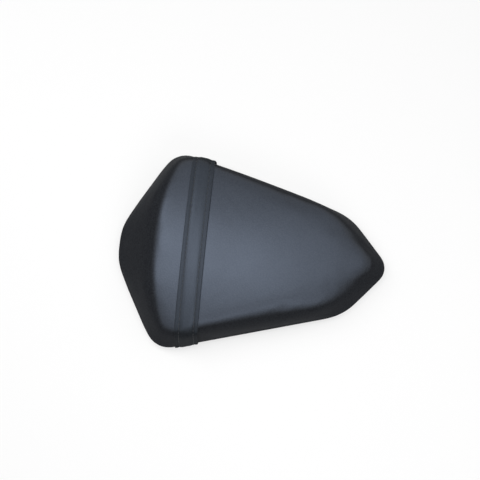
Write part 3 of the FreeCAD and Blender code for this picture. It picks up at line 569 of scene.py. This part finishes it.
class SEAT_OT_strap(bpy.types.Operator):
    """Lay the grab strap over the cover and sew it"""
    bl_idname = "seat.strap"
    bl_label = "Grab strap"

    # Faces across and along the strap, and rays that find its bed
    COLUMNS = 30
    ROWS = 190
    RAYS = 720
    # Height of the line that the rays fan out from
    AXLE = 40 * MM
    # From the outer edge of a bolt's head to the strap's end
    END_MARGIN = 16 * MM
    # Share of its lift that the strap's front edge loses where it goes down a side
    PULLED_IN = 0.75
    # Rows either way that the strap's direction is taken over
    SPAN = 3
    # Faces round and along a stitch, and how far its middle stands off the strap
    STITCH_FACES = 6
    STITCH_LIFT = 0.1 * MM

    def execute(self, context):
        settings = context.scene.seat_strap
        low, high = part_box("grab_strap")
        self.path(low, high)
        bm = bmesh.new()
        bmesh.ops.create_grid(bm, x_segments=self.COLUMNS, y_segments=self.ROWS, size=0.5)
        for vertex in bm.verts:
            vertex.co = self.spot(settings, vertex.co.x + 0.5, vertex.co.y + 0.5)[0]
        bmesh.ops.reverse_faces(bm, faces=bm.faces)
        bm.normal_update()
        piece = object_from("grab_strap_vinyl", bm)
        seams = (low.x + settings.seam_inset, high.x - settings.seam_inset)
        # Full shine between the seams; the hems get a dimmed sheen as painted shade
        polish_and_painted_shade(piece.data, lambda point: 1.0 if seams[0] < point.x < seams[1] else settings.hem_painted_shade)
        add_modifier(piece, "Strap thickness", "SOLIDIFY", thickness=settings.thickness, offset=-1.0)
        add_modifier(piece, "Folded edges", "BEVEL", width=settings.edge_radius, segments=3,
                     limit_method="ANGLE", angle_limit=math.radians(50))
        grain = context.scene.seat_cover.grain
        piece.data.materials.append(
            embossed_vinyl("Embossed PVC strap", settings.dark, settings.pale, grain, settings.shine))
        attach(piece, "root")
        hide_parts("grab_strap")
        self.sew(settings)
        return {"FINISHED"}

    def path(self, low, high):
        """Points and directions of the strap's bed, column by column, evenly spaced along each column."""
        surface = BVHTree.FromPolygons(*form_polygons())
        self.width = high.x - low.x
        self.columns = []
        reach = self.end_angle()
        for column in range(self.COLUMNS + 1):
            station = low.x + self.width * column / self.COLUMNS
            axle = Vector((station, 0, self.AXLE))
            points = []
            for step in range(self.RAYS + 1):
                turn = reach * (1 - 2 * step / self.RAYS)
                direction = Vector((0, math.sin(turn), math.cos(turn)))
                hit = surface.ray_cast(axle, direction)[0]
                points.append(hit)
            self.columns.append(self.evenly(points))

    def end_angle(self):
        """Turn from straight up to the strap's end under the base."""
        end_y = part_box("strap_bolts")[1].y - self.END_MARGIN
        drop = self.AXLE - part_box("seat_cover")[0].z
        return math.pi - math.atan2(end_y, drop)

    def evenly(self, points):
        """The same line through points at equal distances along it."""
        lengths = [0.0]
        for before, after in zip(points, points[1:]):
            lengths.append(lengths[-1] + (after - before).length)
        spots = []
        index = 0
        for row in range(self.ROWS + 1):
            goal = lengths[-1] * row / self.ROWS
            while index < len(points) - 2 and lengths[index + 1] < goal:
                index += 1
            share = (goal - lengths[index]) / (lengths[index + 1] - lengths[index])
            spots.append(points[index].lerp(points[index + 1], share))
        return spots

    def bed(self, across, along):
        """Point of the bed, direction along the strap and direction off the bed."""
        column = min(int(across * self.COLUMNS), self.COLUMNS - 1)
        row = min(int(along * self.ROWS), self.ROWS - 1)
        side, step = across * self.COLUMNS - column, along * self.ROWS - row
        near, far = self.columns[column], self.columns[column + 1]
        point = near[row].lerp(near[row + 1], step).lerp(far[row].lerp(far[row + 1], step), side)
        first, last = max(row - self.SPAN, 0), min(row + 1 + self.SPAN, self.ROWS)
        tangent = (near[last] - near[first]).normalized()
        off = Vector((0, tangent.z, -tangent.y)).normalized()
        if off.dot(point - Vector((point.x, 0, self.AXLE))) < 0:
            off = -off
        return point, tangent, off

    def spot(self, settings, across, along):
        """Point of the strap's upper face, with its directions along and off the strap."""
        point, tangent, off = self.bed(across, along)
        shoulder, flank = 0.25, 0.6
        underside, upright = -0.3, 0.1
        on_side = ease(shoulder, flank, 1 - abs(off.z)) * ease(underside, upright, off.z)
        inset = settings.seam_inset / self.width
        seams = [abs(across - inset), abs(across - (1 - inset))]
        groove_edge, groove_floor, crown_run = 1.6 * MM, 0.2 * MM, 0.2
        groove = sum(ease(groove_edge, groove_floor, seam * self.width) for seam in seams)
        between = ease(0, crown_run, across - inset) * ease(0, crown_run, 1 - inset - across)
        sunk = 1 - self.PULLED_IN * on_side * (1 - across)
        lift = (sunk * (settings.gap + settings.thickness) + settings.crown * between
                - settings.seam_depth * groove + on_side * settings.proud * across)
        return point + off * lift, tangent, off

    def sew(self, settings):
        """Two rows of stitches, each a short length of thread half sunk in its groove."""
        bm = bmesh.new()
        lowest_facing = -0.2
        inset = settings.seam_inset / self.width
        front = self.columns[0]
        length_along = sum((after - before).length for before, after in zip(front, front[1:]))
        count = int(length_along / settings.stitch_pitch)
        for across in (inset, 1 - inset):
            for index in range(1, count):
                point, tangent, off = self.spot(settings, across, index / count)
                if off.z > lowest_facing:
                    turn = tangent.to_track_quat("Z", "X").to_matrix().to_4x4()
                    stretch = Matrix.Diagonal((1, 1, settings.stitch_length / settings.thread, 1))
                    bmesh.ops.create_uvsphere(
                        bm, u_segments=self.STITCH_FACES, v_segments=self.STITCH_FACES,
                        radius=settings.thread / 2,
                        matrix=Matrix.Translation(point + off * self.STITCH_LIFT) @ turn @ stretch)
        piece = object_from("strap_stitching", bm)
        # Bonded polyester thread: dark, with a slight gloss along its twist
        piece.data.materials.append(
            mottled("Bonded polyester thread", "#34373B", "#1B1D20", 0.6 * MM, (0.55, 0.75), 0.1 * MM,
                    shine=0.3))
        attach(piece, "root")


class SEAT_OT_staples(bpy.types.Operator):
    """Staple the cover's lip to the base"""
    bl_idname = "seat.staples"
    bl_label = "Staples"

    def execute(self, context):
        settings = context.scene.seat_staples
        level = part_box("seat_cover")[0].z
        bm = bmesh.new()
        planes = lip_planes()
        ordered = sorted(planes, key=lambda plane: math.atan2(-plane[1].y, -plane[1].x))
        strap_low, strap_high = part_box("grab_strap")
        for index, (point, inward) in enumerate(ordered):
            ends = [self.crossing((point, inward), ordered[index - 1]),
                    self.crossing((point, inward), ordered[(index + 1) % len(ordered)])]
            run = ends[1] - ends[0]
            count = int(run.length / settings.pitch)
            for step in range(count):
                spot = ends[0] + run * ((step + 0.5) / count) - inward * settings.inset
                if strap_low.x - settings.width < spot.x < strap_high.x + settings.width:
                    continue
                spot.z = level
                turn = Matrix.Rotation(math.atan2(run.y, run.x), 4, "Z")
                size = Matrix.Diagonal((settings.width, settings.wire, 2 * settings.stand, 1))
                bmesh.ops.create_cube(bm, size=1.0, matrix=Matrix.Translation(spot) @ turn @ size)
        bmesh.ops.bevel(bm, geom=bm.edges[:], offset=settings.stand / 2, affect="EDGES", segments=1,
                        profile=0.5, material=-1)
        piece = object_from("lip_staples", bm)
        # Galvanised wire: dull grey metal with a slight spangle
        piece.data.materials.append(
            mottled("Galvanised staple wire", "#9FA1A2", "#7C7E80", 1.5 * MM, (0.4, 0.55), 0.05 * MM,
                    metallic=1.0))
        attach(piece, "root")
        return {"FINISHED"}

    def crossing(self, first, second):
        """Point where two runs of the lip's opening meet."""
        (start, inward), (other, other_inward) = first, second
        along = Vector((inward.y, -inward.x, 0))
        return start + along * ((other - start).dot(other_inward) / along.dot(other_inward))


class SEAT_OT_finishes(bpy.types.Operator):
    """Give the base, fastenings, striker and bumpers their finishes"""
    bl_idname = "seat.finishes"
    bl_label = "Finishes"

    def execute(self, context):
        # Glass-filled polypropylene with a fine spark-eroded grain: black, matt, slightly mottled
        plastic = mottled("Moulded polypropylene", "#1D1E1F", "#2A2B2C", 3 * MM, (0.5, 0.68), 0.15 * MM,
                          ior=1.49)
        # Passivated zinc plate: bright grey metal with a faint warm and cool bloom
        zinc = mottled("Zinc-plated steel", "#C9CACB", "#A9ACB0", 5 * MM, (0.24, 0.38), 0.04 * MM,
                       metallic=1.0)
        # Black powder coat: an orange-peel skin with a soft gloss
        coat = mottled("Black powder coat", "#17181A", "#202123", 2.5 * MM, (0.35, 0.48), 0.12 * MM,
                       ior=1.52)
        # Turned brass: yellow metal, a little dull
        brass = mottled("Turned brass", "#C9A256", "#A9813A", 2 * MM, (0.25, 0.4), 0.04 * MM, metallic=1.0)
        # Moulded natural rubber: deep matt black with a dusty bloom
        rubber = mottled("Moulded rubber", "#151516", "#232324", 4 * MM, (0.65, 0.85), 0.15 * MM, ior=1.52)
        finishes = {
            "seat_base": plastic, "strap_inserts": brass, "strap_washers": zinc, "strap_bolts": zinc,
            "striker_bracket": coat, "striker_pin": zinc, "striker_nuts": zinc, "striker_bolts": zinc,
            "bumpers": rubber,
        }
        for node, material in finishes.items():
            for slot in NODES[node].material_slots:
                slot.material = material
        return {"FINISHED"}


class SEAT_OT_stage(bpy.types.Operator):
    """Set the floor, the light and the camera"""
    bl_idname = "seat.stage"
    bl_label = "Stage"

    # Height on the seat that the camera is set up for, and half the floor's width
    AIM_HEIGHT = 30 * MM
    FLOOR_REACH = 6.0

    def execute(self, context):
        scene = context.scene
        settings = scene.seat_stage
        scene.view_settings.view_transform = "Standard"
        self.floor(settings)
        self.light(settings)
        self.room(scene, settings)
        low, high = CAD_BOX
        middle = (low + high) / 2
        middle.z = self.AIM_HEIGHT
        turn, rise = settings.azimuth, settings.elevation
        back = Vector((math.sin(turn) * math.cos(rise), -math.cos(turn) * math.cos(rise), math.sin(rise)))
        facing = (-back).to_track_quat("-Z", "Y")
        aim = middle + facing @ Vector((settings.aim_right, settings.aim_up, 0))
        camera = bpy.data.objects.new("Camera", bpy.data.cameras.new("Camera"))
        camera.data.lens = settings.lens
        camera.data.sensor_width = 36
        camera.location = aim + back * settings.distance
        camera.rotation_mode = "QUATERNION"
        camera.rotation_quaternion = facing
        scene.collection.objects.link(camera)
        scene.camera = camera
        return {"FINISHED"}

    def floor(self, settings):
        """Pale floor that the bumpers stand on."""
        bm = bmesh.new()
        bmesh.ops.create_grid(bm, x_segments=1, y_segments=1, size=self.FLOOR_REACH)
        piece = object_from("studio_floor", bm)
        # Matt painted board: pale, even, with no gloss
        material, tree, output = new_material("Painted board")
        place = add_node(tree, "ShaderNodeTexCoord")
        drift = add_node(tree, "ShaderNodeTexNoise", None, {"Scale": per_metre(0.4), "Detail": 2.0},
                         {"Vector": (place, "Object")})
        tone = add_node(tree, "ShaderNodeMix", {"data_type": "RGBA"},
                        {6: settings.floor_colour, 7: linear("#EAEAEA")}, {0: (drift, "Fac")})
        board = add_node(tree, "ShaderNodeBsdfDiffuse", None, None, {"Color": (tone, 2)})
        white = add_node(tree, "ShaderNodeEmission")
        reach = add_node(tree, "ShaderNodeVectorMath", {"operation": "LENGTH"}, None,
                         {0: (place, "Object")})
        near, far = 0.4, 1.8
        glow = add_node(tree, "ShaderNodeMapRange", None,
                        {"From Min": near, "From Max": far, "To Min": settings.glow},
                        {"Value": (reach, "Value")})
        share = add_node(tree, "ShaderNodeMath", {"operation": "MULTIPLY"}, None,
                         {0: (self.showing_rays(tree), "Value"), 1: (glow, "Result")})
        both = add_node(tree, "ShaderNodeMixShader", None, None,
                        {0: (share, "Value"), 1: (board, "BSDF"), 2: (white, "Emission")})
        tree.links.new(both.outputs["Shader"], output.inputs["Surface"])
        piece.data.materials.append(material)

    def showing_rays(self, tree):
        """Node that is 1 for rays that show the background, straight, mirrored or through glass."""
        rays = add_node(tree, "ShaderNodeLightPath")
        seen = add_node(tree, "ShaderNodeMath", {"operation": "MAXIMUM"}, None,
                        {0: (rays, "Is Camera Ray"), 1: (rays, "Is Glossy Ray")})
        return add_node(tree, "ShaderNodeMath", {"operation": "MAXIMUM"}, None,
                        {0: (seen, "Value"), 1: (rays, "Is Transmission Ray")})

    def room(self, scene, settings):
        """Pale room that shows white behind the seat and lights it a little from all round."""
        world = bpy.data.worlds.new("Studio room")
        world.use_nodes = True
        tree = world.node_tree
        strength = add_node(tree, "ShaderNodeMapRange", None, {"To Min": settings.room, "To Max": 1.0},
                            {"Value": (self.showing_rays(tree), "Value")})
        tree.links.new(strength.outputs["Result"], tree.nodes["Background"].inputs["Strength"])
        tree.nodes["Background"].inputs["Color"].default_value = linear("#FFFFFF")
        scene.world = world

    def light(self, settings):
        """A key softbox above the nose, a weaker fill above the tail and a strip along the near side."""
        lamps = {
            "Key softbox": (settings.key_power, settings.key_across, settings.key_along,
                            settings.key_place),
            "Fill softbox": (settings.fill_power, settings.fill_across, settings.fill_along,
                             settings.fill_place),
            "Strip softbox": (settings.strip_power, settings.strip_along, settings.strip_up,
                              settings.strip_place),
        }
        for name, (power, width, height, place) in lamps.items():
            lamp = bpy.data.lights.new(name, "AREA")
            lamp.shape = "RECTANGLE"
            lamp.size = width
            lamp.size_y = height
            lamp.energy = power
            softbox = bpy.data.objects.new(name, lamp)
            softbox.location = place
            softbox.rotation_euler = (-Vector(place)).to_track_quat("-Z", "Y").to_euler()
            bpy.context.scene.collection.objects.link(softbox)


class SEAT_PT_panel(bpy.types.Panel):
    """Lists the steps that upholster the seat"""
    bl_idname = "SEAT_PT_panel"
    bl_label = "Rear seat"
    bl_space_type = "VIEW_3D"
    bl_region_type = "UI"
    bl_category = "Rear seat"

    def draw(self, context):
        for step in STEPS:
            self.layout.operator(step.bl_idname)


SETTINGS = {
    "seat_cover": CoverSettings,
    "seat_strap": StrapSettings,
    "seat_staples": StapleSettings,
    "seat_stage": StageSettings,
}
STEPS = [SEAT_OT_cover, SEAT_OT_foam, SEAT_OT_strap, SEAT_OT_staples, SEAT_OT_finishes, SEAT_OT_stage]


def register():
    for name, group in SETTINGS.items():
        bpy.utils.register_class(group)
        setattr(bpy.types.Scene, name, bpy.props.PointerProperty(type=group))
    for step in STEPS + [SEAT_PT_panel]:
        bpy.utils.register_class(step)


def unregister():
    for step in STEPS + [SEAT_PT_panel]:
        bpy.utils.unregister_class(step)
    for name, group in SETTINGS.items():
        delattr(bpy.types.Scene, name)
        bpy.utils.unregister_class(group)


def main():
    register()
    bpy.ops.seat.cover()
    bpy.ops.seat.foam()
    bpy.ops.seat.strap()
    bpy.ops.seat.staples()
    bpy.ops.seat.finishes()
    bpy.ops.seat.stage()
    bpy.data.objects.remove(bpy.data.objects[FORM])


if __name__ == "__main__":
    main()
